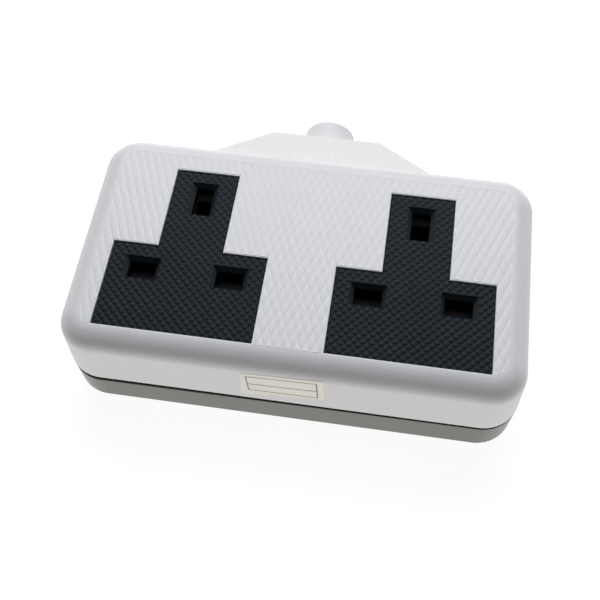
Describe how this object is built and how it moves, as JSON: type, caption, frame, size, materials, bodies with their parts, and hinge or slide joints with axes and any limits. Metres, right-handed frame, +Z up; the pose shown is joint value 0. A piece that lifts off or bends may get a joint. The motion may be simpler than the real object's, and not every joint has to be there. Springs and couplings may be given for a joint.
{
  "type": "trailing socket",
  "caption": "Portable mains socket block with side-by-side square-pin outlets behind sprung shutters, and a tapering nose with a cable sleeve.",
  "frame": {"origin": "centre of the main case's footprint, on the flat underside that the socket rests on", "axes": "+X along the two outlets, +Y towards the cable nose, +Z up, out of the outlets"},
  "size_m": [0.116, 0.0866, 0.0304],
  "materials": {
    "white_shell": "moulded white plastic, low-relief texture on top, satin edges",
    "grey_shell": "moulded grey plastic, satin",
    "white_sleeve": "soft white moulding",
    "black_insert": "moulded black plastic, fine diamond grain",
    "dark_shutter": "smooth dark moulding",
    "white_tray": "plain moulding",
    "spring_wire": "drawn wire",
    "brass": "stamped strip",
    "screw_steel": "zinc plated"
  },
  "bodies": {
    "case": {"cover": "white_shell", "base": "grey_shell", "cable_sleeve": "white_sleeve", "insert_left": "black_insert", "insert_right": "black_insert", "shutter_spring_left": "spring_wire", "shutter_spring_right": "spring_wire", "shutter_carrier_left": "white_tray", "shutter_carrier_right": "white_tray", "cord_clamp": "grey_shell", "live_bar": "brass", "neutral_bar": "brass", "earth_bar": "brass", "live_clip_left": "brass", "live_clip_right": "brass", "neutral_clip_left": "brass", "neutral_clip_right": "brass", "earth_clip_left": "brass", "earth_clip_right": "brass", "clip_rivets": "brass", "live_terminal": "brass", "neutral_terminal": "brass", "earth_terminal": "brass", "terminal_screws": "screw_steel", "clamp_screws": "screw_steel", "carrier_screws": "screw_steel", "cover_screws": "screw_steel"},
    "shutter_left": {"shutter_left": "dark_shutter"},
    "shutter_right": {"shutter_right": "dark_shutter"}
  },
  "joints": [
    {"name": "shutter_left_slide", "type": "slide", "parent": "case", "child": "shutter_left", "axis": [0, -1, 0], "range_m": [0, 0.0061], "stiffness_N_per_m": 450, "springref_m": -0.002, "deforming": ["shutter_spring_left"]},
    {"name": "shutter_right_slide", "type": "slide", "parent": "case", "child": "shutter_right", "axis": [0, -1, 0], "range_m": [0, 0.0061], "stiffness_N_per_m": 450, "springref_m": -0.002, "deforming": ["shutter_spring_right"]}
  ]
}
